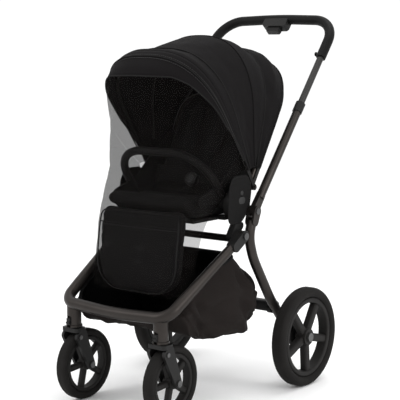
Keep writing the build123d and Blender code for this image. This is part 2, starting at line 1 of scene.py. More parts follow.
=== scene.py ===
# %% [markdown]
# # A folding stroller, dressed piece by piece
#
# The frame, wheels, hinges and buttons already exist as exact CAD parts. This lesson adds what
# CAD leaves plain: cloth, padding, net, seams and every surface finish. All lengths are metres,
# +Z is up, the front faces -Y and +X is the pusher's left.

# %% The frame
import json
import math

import bmesh
import bpy
import numpy as np
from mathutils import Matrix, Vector, noise


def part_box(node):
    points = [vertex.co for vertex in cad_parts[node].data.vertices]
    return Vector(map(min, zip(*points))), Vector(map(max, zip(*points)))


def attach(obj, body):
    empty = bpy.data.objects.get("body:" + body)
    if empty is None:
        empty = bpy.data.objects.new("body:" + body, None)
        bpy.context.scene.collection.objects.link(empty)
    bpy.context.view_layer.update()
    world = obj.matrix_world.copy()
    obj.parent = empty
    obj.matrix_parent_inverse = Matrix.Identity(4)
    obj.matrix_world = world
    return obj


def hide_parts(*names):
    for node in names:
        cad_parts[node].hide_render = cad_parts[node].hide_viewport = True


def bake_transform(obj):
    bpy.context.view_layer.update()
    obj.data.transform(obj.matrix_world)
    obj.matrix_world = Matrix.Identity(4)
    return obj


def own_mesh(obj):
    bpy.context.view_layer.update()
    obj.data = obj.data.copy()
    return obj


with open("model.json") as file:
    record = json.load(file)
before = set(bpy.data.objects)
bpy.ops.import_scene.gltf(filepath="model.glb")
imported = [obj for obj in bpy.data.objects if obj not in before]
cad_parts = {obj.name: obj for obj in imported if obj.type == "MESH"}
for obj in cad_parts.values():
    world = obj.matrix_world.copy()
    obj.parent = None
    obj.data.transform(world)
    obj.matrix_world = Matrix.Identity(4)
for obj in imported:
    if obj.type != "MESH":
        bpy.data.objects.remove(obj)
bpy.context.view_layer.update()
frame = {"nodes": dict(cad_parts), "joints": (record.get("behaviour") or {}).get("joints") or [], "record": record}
nodes = frame["nodes"]
joint_at = {j["name"]: Vector(j["pos_m"]) for j in frame["joints"] if j.get("pos_m")}

# %% [markdown]
# ## Camera and light
#
# The view is a three quarter one from the front left, with a long lens, so the wheels stay
# round. A white studio is a pale floor, a white world and three broad soft lamps. Black things
# are shaped by what they reflect, so the lamps are large and close rather than many.

# %% Camera
def place_object(name, data, place=(0, 0, 0), target=None):
    """Puts data in the scene, turned to look at target where there is one."""
    thing = bpy.data.objects.new(name, data)
    bpy.context.scene.collection.objects.link(thing)
    thing.location = place
    if target is not None:
        look = Vector(target) - Vector(place)
        thing.rotation_euler = look.to_track_quat("-Z", "Y").to_euler()
    return thing


def make_camera(place, target, lens):
    """A camera that looks from place to target."""
    data = bpy.data.cameras.new("camera")
    data.lens = lens
    data.sensor_width = 36.0
    data.clip_end = 50.0
    bpy.context.scene.camera = place_object("camera", data, place, target)
    return bpy.context.scene.camera


camera = make_camera((2.1129, -2.7005, 0.9838), (-0.1705, 0.2251, 0.5077), 106.9)
print("camera:", [round(v, 3) for v in camera.location])

# %% Lamps and world
MIDDLE = (0.0, 0.0, 0.55)


def soft_lamp(name, place, size, power):
    """A square softbox aimed at the middle of the stroller."""
    data = bpy.data.lights.new(name, "AREA")
    data.size = size
    data.energy = power
    place_object(name, data, place, MIDDLE)


soft_lamp("key_lamp", (-1.6, -2.6, 2.6), 1.6, 34.0)
soft_lamp("side_lamp", (2.8, -0.2, 1.7), 1.2, 26.0)
soft_lamp("top_lamp", (0.2, 0.6, 3.0), 1.8, 24.0)

world = bpy.data.worlds.new("studio")
world.use_nodes = True
world.node_tree.nodes["Background"].inputs["Color"].default_value = (1.0, 1.0, 1.0, 1.0)
world.node_tree.nodes["Background"].inputs["Strength"].default_value = 1.06
bpy.context.scene.world = world
bpy.context.scene.view_settings.view_transform = "Standard"

# %% [markdown]
# ## Finishes
#
# Nothing here is one flat colour. Every finish starts from the Principled shader, then adds
# a slow change of tone, a change of roughness and a fine bump, each from a noise or wave
# pattern at the real scale of the grain. Cloth reads its own UV map, in metres along the
# cloth, so its threads follow the sheet. Rigid parts read Object coordinates.

# %% A small kit for finishes
def feed(tree, node, values):
    """Each named input gets a plain value, or a wire from another node's output."""
    for name, value in values.items():
        if isinstance(value, bpy.types.NodeSocket):
            tree.links.new(value, node.inputs[name])
        else:
            node.inputs[name].default_value = value
    return node


def add_node(tree, kind, values):
    """A shader node with its inputs fed."""
    return feed(tree, tree.nodes.new("ShaderNode" + kind), values)


def start_finish(name, source):
    """A new node tree, its shader and the coordinates that its patterns read."""
    material = bpy.data.materials.new(name)
    material.use_nodes = True
    tree = material.node_tree
    coords = tree.nodes.new("ShaderNodeTexCoord").outputs[source]
    return material, tree, tree.nodes["Principled BSDF"], coords


def noise_of(tree, coords, scale, detail=3.0, stretch=(1, 1, 1)):
    """A noise pattern in metres: scale is bumps per metre."""
    mapping = add_node(tree, "Mapping", {"Scale": stretch, "Vector": coords})
    place = mapping.outputs["Vector"]
    return add_node(tree, "TexNoise", {"Scale": scale, "Detail": detail, "Vector": place}).outputs["Fac"]


def tone(colour, factor):
    return tuple(channel * factor for channel in colour)


def ramp_of(tree, value, low, high, colour, dark, light):
    """A colour's darker and lighter tone, blended between two levels of a pattern."""
    ramp = add_node(tree, "ValToRGB", {"Fac": value})
    first, last = ramp.color_ramp.elements
    first.position, last.position = low, high
    first.color, last.color = (*tone(colour, dark), 1.0), (*tone(colour, light), 1.0)
    return ramp.outputs["Color"]


def span_of(tree, value, low, high):
    """A pattern's 0 to 1 spread over another range."""
    return add_node(tree, "MapRange", {"To Min": low, "To Max": high, "Value": value}).outputs["Result"]


def bump_of(tree, shader, layers):
    """Stacked bumps, each (pattern, strength, height in metres)."""
    below = {}
    for pattern, strength, height in layers:
        values = {"Strength": strength, "Distance": height, "Height": pattern}
        below = {"Normal": add_node(tree, "Bump", {**values, **below}).outputs["Normal"]}
    feed(tree, shader, below)


# %% Rigid finishes
def rigid_finish(name, colour, rough, metal=0.0, grain=900.0, grain_height=0.00012, wear=0.25,
                 specular=0.5):
    """Moulded plastic, anodised tube or rubber: slow tone change, grain and worn high spots."""
    material, tree, shader, coords = start_finish(name, "Object")
    cloud = noise_of(tree, coords, 14.0)
    fine = noise_of(tree, coords, grain, 2.0)
    feed(tree, shader, {"Base Color": ramp_of(tree, cloud, 0.35, 0.75, colour, 1 - wear, 1 + wear),
                        "Roughness": span_of(tree, fine, rough - 0.07, rough + 0.09),
                        "Metallic": metal, "Specular IOR Level": specular})
    bump_of(tree, shader, [(fine, 0.35, grain_height), (cloud, 0.15, 0.0004)])
    return material


BRONZE = (0.036, 0.0315, 0.029)
STEEL_GREY = (0.042, 0.041, 0.040)
CHARCOAL = (0.006, 0.0057, 0.0055)
WHEEL_GREY = (0.0115, 0.0106, 0.0100)
finish = {
    "frame_tube": rigid_finish("anodised_bronze", BRONZE, 0.40, 0.9, 1400.0, 0.00004, 0.12),
    "inner_tube": rigid_finish("anodised_grey", STEEL_GREY, 0.33, 0.85, 1400.0, 0.00004, 0.10),
    "moulded_plastic": rigid_finish("moulded_plastic", CHARCOAL, 0.50, specular=0.22),
    "button_plastic": rigid_finish("button_plastic", (0.016, 0.016, 0.016), 0.42, grain=600.0,
                                   specular=0.3),
    "bolt_steel": rigid_finish("blackened_steel", (0.10, 0.10, 0.10), 0.38, 0.9, 1600.0, 0.00003),
    "wheel_plastic": rigid_finish("wheel_plastic", WHEEL_GREY, 0.60, grain=700.0, specular=0.16),
    "tyre_foam": rigid_finish("tyre_foam", tone(WHEEL_GREY, 0.92), 0.78, grain=500.0,
                              grain_height=0.0003, specular=0.12),
}
print("rigid finishes:", sorted(finish))

# %% [markdown]
# ### Leatherette, woven cloth and net
#
# Leatherette is a plastic skin with a pebble grain, which a Voronoi pattern gives. Woven
# cloth is two sets of threads at right angles: two wave patterns, one across and one along the
# sheet. Net is the same grid used as holes, so light and the seat behind come through.

# %% Cloth finishes
def leather_finish(name, colour):
    """A plastic skin with a pebble grain."""
    material, tree, shader, coords = start_finish(name, "Object")
    pebbles = add_node(tree, "TexVoronoi", {"Scale": 650.0, "Vector": coords})
    cloud = noise_of(tree, coords, 25.0)
    feed(tree, shader, {"Base Color": ramp_of(tree, cloud, 0.3, 0.75, colour, 0.75, 1.35),
                        "Roughness": span_of(tree, cloud, 0.42, 0.60), "Specular IOR Level": 0.10})
    bump_of(tree, shader, [(pebbles.outputs["Distance"], 0.5, 0.0003), (cloud, 0.2, 0.0008)])
    return material


def weave_of(tree, coords, pitch, operation):
    """Fine ridges in both directions, one per thread, joined into one pattern."""
    threads = {}
    for index, direction in enumerate("XY"):
        wave = add_node(tree, "TexWave", {"Scale": 1.0 / pitch / 20.0 * math.pi * 2, "Distortion": 0.6,
                                          "Detail": 1.0, "Vector": coords})
        wave.bands_direction = direction
        threads[index] = wave.outputs["Fac"]
    both = add_node(tree, "Math", threads)
    both.operation = operation
    return both.outputs[0]


def cloth_finish(name, colour, pitch=0.0011, source="UV", crease=0.0022, heather=0.35, rough=0.88,
                 sheen=0.012, crease_stretch=(1, 1, 1)):
    """Plain weave with a heathered thread tone and soft creases."""
    material, tree, shader, coords = start_finish(name, source)
    weave = weave_of(tree, coords, pitch, "MULTIPLY")
    slub = noise_of(tree, coords, 260.0, 4.0, (1, 6, 1))
    cloud = noise_of(tree, coords, 9.0, 4.0, crease_stretch)
    feed(tree, shader, {"Base Color": ramp_of(tree, slub, 0.3, 0.72, colour, 1 - heather, 1 + heather),
                        "Roughness": span_of(tree, slub, rough - 0.06, rough + 0.1),
                        "Specular IOR Level": 0.06, "Sheen Weight": sheen, "Sheen Roughness": 0.45})
    bump_of(tree, shader, [(cloud, 0.55, crease), (weave, 0.35, 0.0004)])
    return material


def net_finish(name, colour, cover, pitch=0.0016):
    """Threads with open holes between them."""
    material, tree, shader, coords = start_finish(name, "UV")
    threads = weave_of(tree, coords, pitch, "MAXIMUM")
    cloud = noise_of(tree, coords, 30.0, 3.0, (1, 0.2, 1))
    feed(tree, shader, {"Base Color": ramp_of(tree, cloud, 0.3, 0.7, colour, 0.8, 1.2),
                        "Alpha": span_of(tree, threads, cover * 0.75, cover * 1.08),
                        "Roughness": 0.8, "Specular IOR Level": 0.02})
    bump_of(tree, shader, [(cloud, 0.1, 0.0003)])
    return material


NEAR_BLACK = (0.0068, 0.0061, 0.0064)
SEAT_BLACK = (0.0085, 0.0082, 0.0082)
finish["grip_leatherette"] = leather_finish("grip_leatherette", (0.0042, 0.0041, 0.0040))
finish["bumper_leatherette"] = leather_finish("bumper_leatherette", (0.0075, 0.0072, 0.0070))
finish["hood_fabric"] = cloth_finish("hood_cloth", NEAR_BLACK)
finish["seat_fabric"] = cloth_finish("seat_cloth", SEAT_BLACK, source="Object")
finish["seat_sheet"] = cloth_finish("seat_sheet_cloth", SEAT_BLACK)
finish["basket_fabric"] = cloth_finish("basket_cloth", (0.0135, 0.0110, 0.0102), crease=0.004,
                                       crease_stretch=(1.6, 0.7, 1))
finish["basket_lining"] = cloth_finish("basket_lining", (0.0025, 0.0025, 0.0025), sheen=0.0)
finish["webbing"] = cloth_finish("webbing", (0.007, 0.007, 0.007), pitch=0.0016, crease=0.0005)
finish["piping"] = cloth_finish("piping_cloth", (0.013, 0.0125, 0.0125), source="Object",
                                crease=0.0002)
finish["thread"] = rigid_finish("sewing_thread", (0.030, 0.029, 0.029), 0.6, grain=2500.0)
finish["net_mesh"] = net_finish("insect_net", (0.0048, 0.0042, 0.0039), 0.54)
print("finishes:", len(finish))

# %% [markdown]
# ## Finishes on the CAD parts
#
# A CAD part keeps its exact mesh. Only its material slots and smooth flags change, and an
# Edge Split modifier after a Weld keeps crisp machined edges.

# %% Dress the CAD nodes
slot_of = {entry["node"]: entry["material_slot"] for entry in frame["record"]["subparts"]}
for name, node in nodes.items():
    node.data.materials.clear()
    node.data.materials.append(finish[slot_of[name]])
    node.data.polygons.foreach_set("use_smooth", [True] * len(node.data.polygons))
    weld = node.modifiers.new("weld", "WELD")
    weld.merge_threshold = 0.00001
    split = node.modifiers.new("crisp_edges", "EDGE_SPLIT")
    split.split_angle = math.radians(32)
print("dressed:", len(nodes))


# %% [markdown]
# ## Helpers for cloth
#
# A cloth piece here is a grid of points with a UV map in metres, so its weave has the right
# size everywhere. Piping and hems are round or flat tapes swept along a line of points.

# %% Pieces and what they ride on
def wear(piece, body, slot):
    """The piece moves with a body. Its slot is not used."""
    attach(piece, body)
    return piece


def apply_modifiers(piece):
    """The evaluated mesh becomes the piece's own."""
    graph = bpy.context.evaluated_depsgraph_get()
    mesh = bpy.data.meshes.new_from_object(piece.evaluated_get(graph), preserve_all_data_layers=True,
                                           depsgraph=graph)
    piece.modifiers.clear()
    piece.data = mesh
    return piece


def soften(piece):
    """One round of subdivision, kept as a plain mesh."""
    soft = piece.modifiers.new("soft", "SUBSURF")
    soft.levels = soft.render_levels = 1
    return apply_modifiers(piece)


# %% Grids, tapes and cords of piping
def to_mesh(name, points, faces, material, uv=None, flip=False):
    """A piece from points and faces, smooth, with its finish."""
    mesh = bpy.data.meshes.new(name)
    faces = [tuple(reversed(face)) for face in faces] if flip else faces
    mesh.from_pydata([tuple(p) for p in points], [], faces)
    mesh.materials.append(material)
    if uv is not None:
        layer = mesh.uv_layers.new(name="UVMap")
        loops = np.zeros(len(mesh.loops), np.int32)
        mesh.loops.foreach_get("vertex_index", loops)
        layer.data.foreach_set("uv", np.asarray(uv, float)[loops].astype(np.float32).ravel())
    mesh.polygons.foreach_set("use_smooth", [True] * len(mesh.polygons))
    mesh.update()
    return place_object(name, mesh)


def grid_piece(name, grid, material, close_rows=False, flip=False):
    """grid is rows x columns x 3. UVs are distances along the cloth."""
    grid = np.asarray(grid, float)
    rows, columns, _ = grid.shape
    along = np.zeros((rows, columns))
    across = np.zeros((rows, columns))
    along[1:] = np.cumsum(np.linalg.norm(np.diff(grid, axis=0), axis=2), axis=0)
    across[:, 1:] = np.cumsum(np.linalg.norm(np.diff(grid, axis=1), axis=2), axis=1)
    across -= across.mean(axis=1, keepdims=True)
    faces = []
    for r in range(rows - 1):
        for c in range(columns if close_rows else columns - 1):
            right = (c + 1) % columns
            faces.append((r * columns + c, r * columns + right,
                          (r + 1) * columns + right, (r + 1) * columns + c))
    uv = np.stack([across, along], axis=2).reshape(-1, 2)
    return to_mesh(name, grid.reshape(-1, 3), faces, material, uv, flip)


def thicken(piece, thickness, lining=None):
    """A wall on the inner side of a sheet, kept as a plain mesh."""
    wall = piece.modifiers.new("wall", "SOLIDIFY")
    wall.thickness = thickness
    wall.offset = -1.0
    if lining is not None:
        piece.data.materials.append(lining)
        wall.material_offset = 1
        wall.material_offset_rim = 1
    return apply_modifiers(piece)


def length_along(line):
    """How far along the line each of its points lies."""
    return np.concatenate([[0], np.cumsum(np.linalg.norm(np.diff(line, axis=0), axis=1))])


def spread(line, count, endpoint=True):
    """The same line with evenly spaced points."""
    length = length_along(line)
    wanted = np.linspace(0, length[-1], count, endpoint=endpoint)
    return np.stack([np.interp(wanted, length, column) for column in line.T], axis=1)


def swept(name, path, radius, material, sides=8, flat=1.0, closed=False, normals=None):
    """A round or flattened bar along points. flat is its thickness as a share of its width."""
    path = np.asarray(path, float)
    count = len(path)
    if closed:
        tangent = np.roll(path, -1, axis=0) - np.roll(path, 1, axis=0)
    else:
        tangent = np.gradient(path, axis=0)
    tangent /= np.linalg.norm(tangent, axis=1, keepdims=True)
    if normals is None:
        normals = np.zeros_like(path)
        normal = np.cross(tangent[0], (0.13, 0.21, 0.97))
        for i in range(count):
            normal = normal - tangent[i] * (normal @ tangent[i])
            normal /= np.linalg.norm(normal)
            normals[i] = normal
    normals = normals - tangent * (normals * tangent).sum(axis=1, keepdims=True)
    normals /= np.linalg.norm(normals, axis=1, keepdims=True)
    side = np.cross(tangent, normals)
    points, uv = [], []
    length = length_along(path)
    for i in range(count):
        for k in range(sides):
            angle = 2 * math.pi * k / sides
            points.append(path[i] + side[i] * math.cos(angle) * radius
                          + normals[i] * math.sin(angle) * radius * flat)
            uv.append((radius * angle, length[i]))
    faces = []
    for i in range(count if closed else count - 1):
        ahead = (i + 1) % count
        for k in range(sides):
            right = (k + 1) % sides
            faces.append((i * sides + k, i * sides + right,
                          ahead * sides + right, ahead * sides + k))
    if not closed:
        faces.append(tuple(reversed(range(sides))))
        faces.append(tuple(range((count - 1) * sides, count * sides)))
    return to_mesh(name, points, faces, material, uv)


def smooth_path(points, count):
    """Points spread evenly along a Catmull-Rom line through the given ones."""
    points = np.asarray(points, float)
    padded = np.vstack([2 * points[0] - points[1], points, 2 * points[-1] - points[-2]])
    fine = []
    for i in range(1, len(padded) - 2):
        p0, p1, p2, p3 = padded[i - 1:i + 3]
        for t in np.linspace(0, 1, 24, endpoint=False):
            fine.append(0.5 * (2 * p1 + (p2 - p0) * t + (2 * p0 - 5 * p1 + 4 * p2 - p3) * t ** 2
                               + (3 * p1 - p0 - 3 * p2 + p3) * t ** 3))
    return spread(np.array(fine + [padded[-2]]), count)


def ripple(point, scale, stretch=(1, 1, 1), shift=0.0):
    """Smooth noise from about -1 to 1, always the same for the same point."""
    x, y, z = (part * widen * scale for part, widen in zip(point, stretch))
    return noise.noise(Vector((x + shift, y, z)))


print("cloth helpers ready")

# %% [markdown]
# ## The hood as a fan
#
# A stroller hood opens like a fan about one pivot on each side. So hood, brim and net are all
# described the same way: an angle about that pivot, and at each angle an arch with a half
# width, a height and round shoulders. One rule gives one continuous skin with no flat panels.

# %% The fan's rule
PIVOT = joint_at["hood_mid_fold"]
REAR_BOW, MID_BOW, FRONT_BOW = 58, 92, 122
ACROSS = 97
CLOTH_WALL = 0.0014
CREASE = 0.0035
ANGLES = [58, 62, 68, 74, 76, 78, 84, 92, 98, 104, 110, 114.5, 117, 120, 122, 125, 130, 134]
HEIGHTS = [417.5, 419, 420, 412, 408, 411, 420, 424.5, 422, 421, 423, 427, 435, 448, 451, 452,
           446, 434]
HALVES = [181, 183, 184, 183, 182.5, 183, 184.5, 186.5, 186, 186, 186.5, 188.5, 189.5, 190, 190,
          189.5, 188, 186.5]
SHOULDER_ANGLES = [58, 68, 76, 92, 104, 114, 120, 130]
SHOULDERS = [2.6, 2.7, 2.4, 2.45, 2.4, 2.55, 2.7, 2.6]
BRIM_UPS = [0.12, 0.168, 0.23, 0.286, 0.35, 0.392, 0.428, 0.45]
BRIM_ANGLES = [122.4, 124.5, 127.8, 128.5, 130.0, 130.4, 131.5, 133.5]


def fan_point(angle, x, up):
    """The place of a point up the plane that stands at an angle about the pivot."""
    turn = math.radians(angle)
    return (x, PIVOT.y + up * math.cos(turn), PIVOT.z + up * math.sin(turn))


def arch_curve(half, low, high, power, count):
    """(x, up) over the top from left to right. A smaller power gives squarer shoulders."""
    turn = np.linspace(0, math.pi, count)
    x = half * np.sign(np.cos(turn)) * np.abs(np.cos(turn)) ** power
    return np.stack([x, low + (high - low) * np.sin(turn) ** power], axis=1)


def arch_points(half, height, foot, shoulder=2.35, count=ACROSS):
    """(x, up) from the left foot over the top to the right foot, spaced evenly."""
    spring = max(height - 1.22 * half, foot)
    line = arch_curve(half, spring, height, 2 / shoulder, 181)
    if spring > foot + 1e-6:
        legs = np.linspace(foot, spring, 24, endpoint=False)
        left = np.stack([np.full(24, half), legs], axis=1)
        right = np.stack([np.full(24, -half), legs[::-1]], axis=1)
        line = np.vstack([left, line, right])
    return spread(line, count)


def hood_arch(angle, foot, out=0.0, count=ACROSS):
    """The hood's section at an angle, in metres."""
    height = np.interp(angle, ANGLES, HEIGHTS) / 1000 + out
    half = np.interp(angle, ANGLES, HALVES) / 1000 + out
    return arch_points(half, height, foot, np.interp(angle, SHOULDER_ANGLES, SHOULDERS), count)


print("pivot:", [round(v, 4) for v in PIVOT])


# %% Hood cloth in two pieces
def hood_grid(low, high, rows):
    """Points of the hood skin between two bows, with shallow creases in between."""
    grid = []
    for angle in np.linspace(low, high, rows):
        ease = CREASE * math.sin(math.pi * (angle - low) / (high - low))
        foot = np.interp(angle, [58, 92, 122, 135], [60, 56, 60, 60]) / 1000
        row = []
        for x, up in hood_arch(angle, foot):
            wave = ripple((angle / 60, x * 3, up * 2), 4.0, shift=3.0)
            wave += 0.6 * ripple((angle / 30, x * 6, up * 5), 5.0, shift=9.0)
            shrink = 1 - ease * (0.5 + wave) / max(up, 0.1)
            row.append(fan_point(angle, x * (1 - ease * wave / 0.19), up * shrink))
        grid.append(row)
    return np.array(grid)


def fan_blend(piece, start, end):
    """Bakes the piece's place into its mesh. The two angles make points that are not used."""
    fan_point(start, 0, 0.4)
    fan_point(end, 0, 0.4)
    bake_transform(piece)


def cloth_sheet(piece, flat, share):
    """Prints a sheet's name, the rectangle it is cut from, and the share of it that the cut fills."""
    print(f"{piece.name}: cut from {flat[0]} x {flat[1]} m, fills {share:.0%} of it")


hood_rear = grid_piece("hood_rear_cloth", hood_grid(REAR_BOW, MID_BOW, 35), finish["hood_fabric"])
hood_front = grid_piece("hood_front_cloth", hood_grid(MID_BOW, FRONT_BOW, 31), finish["hood_fabric"])
for piece in (hood_rear, hood_front):
    thicken(piece, CLOTH_WALL)
fan_blend(hood_rear, REAR_BOW, MID_BOW)
fan_blend(hood_front, MID_BOW, FRONT_BOW)
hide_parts("hood_mid_panel")
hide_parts("hood_front_panel")
cloth_sheet(hood_rear, (1.0, 0.26), 0.62)
cloth_sheet(hood_front, (1.04, 0.25), 0.60)
print("hood vertices:", len(hood_rear.data.vertices), len(hood_front.data.vertices))

# %% [markdown]
# ## Brim
#
# Ahead of the front bow a stiff visor band hangs over the opening. It is widest over the top
# and dies out down the sides. It is part of the front bow's body, so it only rides.

# %% Brim band
BRIM_FOOT = 0.06


def brim_angle(up):
    """How far the brim reaches at a height along the arch."""
    return float(np.interp(up, BRIM_UPS, BRIM_ANGLES))


def brim_grid(rows):
    """From the front seam to the brim's lower edge: point, angle, x and height."""
    grid = []
    bow_section = hood_arch(FRONT_BOW, BRIM_FOOT)
    for share in np.linspace(0, 1, rows):
        row = []
        for i, (_, bow_up) in enumerate(bow_section):
            angle = FRONT_BOW + (brim_angle(bow_up) - FRONT_BOW) * share
            x, up = hood_arch(angle, BRIM_FOOT)[i]
            row.append((*fan_point(angle, x, up), angle, x, up))
        grid.append(row)
    return np.array(grid)


brim_table = brim_grid(13)
brim_points = brim_table[:, :, :3]
brim = thicken(grid_piece("brim_cloth", brim_points, finish["hood_fabric"]), 0.0022)
wear(brim, "hood_front", "hood_fabric")
cloth_sheet(brim, (1.02, 0.09), 0.50)
print("brim reaches", round(float(brim_points[:, :, 1].min()), 3))


# %% [markdown]
# ### Seams and piping
#
# The bows show through the hood as raised seams. Each is a thin piped cord along the arch at
# that angle. A double row of stitches sits behind the brim. Stitches repeat hundreds of times
# along a path, so Geometry Nodes place them: resample the path, put one thread on each
# point, turn it along the seam.

# %% Piping over the bows
def hood_line(angle, out=0.0, foot=0.06):
    """A line over the hood at an angle, raised by out."""
    return np.array([fan_point(angle, x, up) for x, up in hood_arch(angle, foot, out, 121)])


def piping(name, path, radius, body, slot="hood_fabric", look="piping", closed=False):
    """A thin cord that rides on a body."""
    return wear(swept(name, path, radius, finish[look], closed=closed), body, slot)


piping("brim_piping", brim_points[-1], 0.0022, "hood_front")
piping("front_bow_piping", hood_line(114.5, 0.0006), 0.0022, "hood_front")
piping("front_seam_piping", hood_line(125.4, 0.0014, foot=0.10), 0.0018, "hood_front")
piping("mid_bow_piping", hood_line(MID_BOW, 0.0008), 0.0015, "hood_mid", look="hood_fabric")
outwards = hood_line(MID_BOW, foot=0.12) - (0, PIVOT.y, PIVOT.z)
mid_bow = swept("mid_bow_strip", hood_line(MID_BOW, -0.0035, foot=0.12), 0.005,
                finish["moulded_plastic"], sides=10, flat=0.28, normals=outwards)
wear(mid_bow, "hood_mid", "moulded_plastic")
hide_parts("hood_bow_mid")
zip_seam = swept("zip_seam_piping", hood_line(76.0, 0.0008), 0.0016, finish["piping"])
fan_blend(zip_seam, REAR_BOW, MID_BOW)
piping("rear_bow_piping", hood_line(58.2, 0.0010), 0.0026, "backrest")
print("piping lines: 6")


# %% Stitches along a path, with Geometry Nodes
def node_recipe(name, inputs, output, kinds, modes, wires):
    """A Geometry Nodes tree from tables of its inputs, nodes and wires. Its turn node aims copies."""
    tree = bpy.data.node_groups.new(name, "GeometryNodeTree")
    for label, kind in inputs.items():
        tree.interface.new_socket(label, in_out="INPUT", socket_type="NodeSocket" + kind)
    tree.interface.new_socket(output, in_out="OUTPUT", socket_type="NodeSocketGeometry")
    made = {key: tree.nodes.new("GeometryNode" + kind) for key, kind in kinds.items()}
    made["in"], made["out"] = tree.nodes.new("NodeGroupInput"), tree.nodes.new("NodeGroupOutput")
    made["turn"] = tree.nodes.new("FunctionNodeAlignEulerToVector")
    made["turn"].axis = "Z"
    for key, (attribute, mode) in modes.items():
        setattr(made[key], attribute, mode)
    for wire in wires:
        (source, given), (target, taken) = (end.split(".") for end in wire.split(" > "))
        tree.links.new(made[source].outputs[given], made[target].inputs[taken])
    return tree, made


def grow(piece, tree, values):
    """Runs a tree on a piece with its named inputs, and keeps the result as a plain mesh."""
    modifier = piece.modifiers.new(tree.name, "NODES")
    modifier.node_group = tree
    for item in tree.interface.items_tree:
        if item.item_type == "SOCKET" and item.in_out == "INPUT" and item.name in values:
            modifier[item.identifier] = values[item.name]
    piece.update_tag()
    bpy.context.view_layer.update()
    apply_modifiers(piece)
    piece.data.name = piece.name
    return piece


STITCHES, made = node_recipe(
    "stitch_row",
    {"Path": "Geometry", "Pitch": "Float", "Stitch Length": "Float", "Thread Radius": "Float",
     "Thread": "Material"}, "Stitches",
    {"line": "MeshToCurve", "resample": "ResampleCurve", "tangent": "InputTangent",
     "thread": "MeshCylinder", "place": "InstanceOnPoints", "real": "RealizeInstances",
     "paint": "SetMaterial"}, {"resample": ("mode", "LENGTH")},
    ["in.Path > line.Mesh", "line.Curve > resample.Curve", "in.Pitch > resample.Length",
     "in.Stitch Length > thread.Depth", "in.Thread Radius > thread.Radius",
     "resample.Curve > place.Points", "thread.Mesh > place.Instance",
     "tangent.Tangent > turn.Vector", "turn.Rotation > place.Rotation",
     "place.Instances > real.Geometry", "real.Geometry > paint.Geometry",
     "in.Thread > paint.Material", "paint.Geometry > out.Stitches"])
made["thread"].inputs["Vertices"].default_value = 6


def stitch_row(name, paths, body, slot):
    """One piece of stitches along several lines."""
    points, edges = [], []
    for path in paths:
        first = len(points)
        points += [tuple(p) for p in path]
        edges += [(first + i, first + i + 1) for i in range(len(path) - 1)]
    mesh = bpy.data.meshes.new(name)
    mesh.from_pydata(points, edges, [])
    piece = grow(place_object(name, mesh), STITCHES, {
        "Pitch": 0.0065, "Stitch Length": 0.0042, "Thread Radius": 0.00055, "Thread": finish["thread"]})
    return wear(piece, body, slot)


rows = [hood_line(angle, 0.0012, foot=0.10) for angle in (124.6, 126.3)]
seam = stitch_row("brim_stitches", rows, "hood_front", "hood_fabric")
print("brim stitches:", len(seam.data.polygons), "faces")

# %% [markdown]
# ## The back of the hood
#
# Behind the rear bow a panel closes the hood above the backrest. It is cloth round a
# ventilation window of net, and a cloth flap hangs over the window.

# %% Hood back with its window
def back_piece(name, inner, outer, bulge, look):
    """Rings between two scaled copies of the rear bow's inside outline, bulging backwards."""
    section = arch_points(0.1755, 0.4135, 0.240)
    centre = np.array((0.0, 0.300))
    turn = math.radians(REAR_BOW)
    backwards = np.array((0, math.sin(turn), -math.cos(turn)))
    grid = []
    for share in np.linspace(outer, inner, 9):
        ring = centre + (section - centre) * share
        grid.append([np.array(fan_point(REAR_BOW, x, up)) + bulge * (1 - share ** 2) * backwards
                     for x, up in ring])
    piece = grid_piece(name, grid, finish[look])
    if look != "net_mesh":
        thicken(piece, CLOTH_WALL)
    return wear(piece, "backrest", look)


hood_back = back_piece("hood_back_cloth", 0.62, 0.995, 0.012, "hood_fabric")
window = back_piece("hood_window_net", 0.02, 0.64, 0.012, "net_mesh")
flap = back_piece("hood_window_flap", 0.02, 0.70, 0.019, "hood_fabric")
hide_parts("hood_back_panel")
cloth_sheet(hood_back, (0.36, 0.15), 0.40)
cloth_sheet(window, (0.23, 0.09), 0.65)
cloth_sheet(flap, (0.25, 0.10), 0.65)
print("hood back made")

# %% [markdown]
# ## Insect net
#
# The net hangs from the brim, passes over the bumper bar and wraps the leg rest. It carries on
# the fan of the hood: each section is an arch at a larger angle, with its own height and its
# own inner edge.

# %% Net profile
NET_ANGLES = [135, 140, 147, 152, 156, 166, 174, 182, 187, 195, 201, 207, 213, 218, 222]
NET_HEIGHTS = [428, 387, 342, 322, 306, 284, 286, 296, 300, 308, 316, 330, 356, 384, 414]
NET_HALVES = [186, 185.5, 185, 185, 184.5, 182, 180, 177, 175, 171.5, 168.5, 167, 166.5, 166.5, 167]
NET_FEET = [100, 84, 75, 72, 72, 74, 84, 100, 118, 158, 205, 240, 275, 312, 350]
NET_ROUND = [2.35, 2.5, 2.75, 2.9, 3.05, 3.3, 3.5, 3.8, 4.05, 4.9, 6.0, 6.5, 7.0, 7.5, 8.0]


def net_value(angle, values):
    return float(np.interp(angle, NET_ANGLES, values))


def net_section(angle):
    """The net's line across the stroller at an angle."""
    half, height, foot = (net_value(angle, sizes) / 1000 for sizes in (NET_HALVES, NET_HEIGHTS, NET_FEET))
    return spread(arch_curve(half, foot, height, 2 / net_value(angle, NET_ROUND), 361), ACROSS)


def net_band(name, low, high, rows):
    """The net between two angles, with a slight ripple."""
    grid = []
    for angle in np.linspace(low, high, rows):
        row = []
        for x, up in net_section(angle):
            wave = ripple((x * 5, angle / 55, 0), 3.0, shift=4.0) * 0.0025
            row.append(fan_point(angle, x * (1 + wave / 0.2), up + wave))
        grid.append(row)
    piece = grid_piece(name, grid, finish["net_mesh"])
    fan_blend(piece, high, low)
    return piece


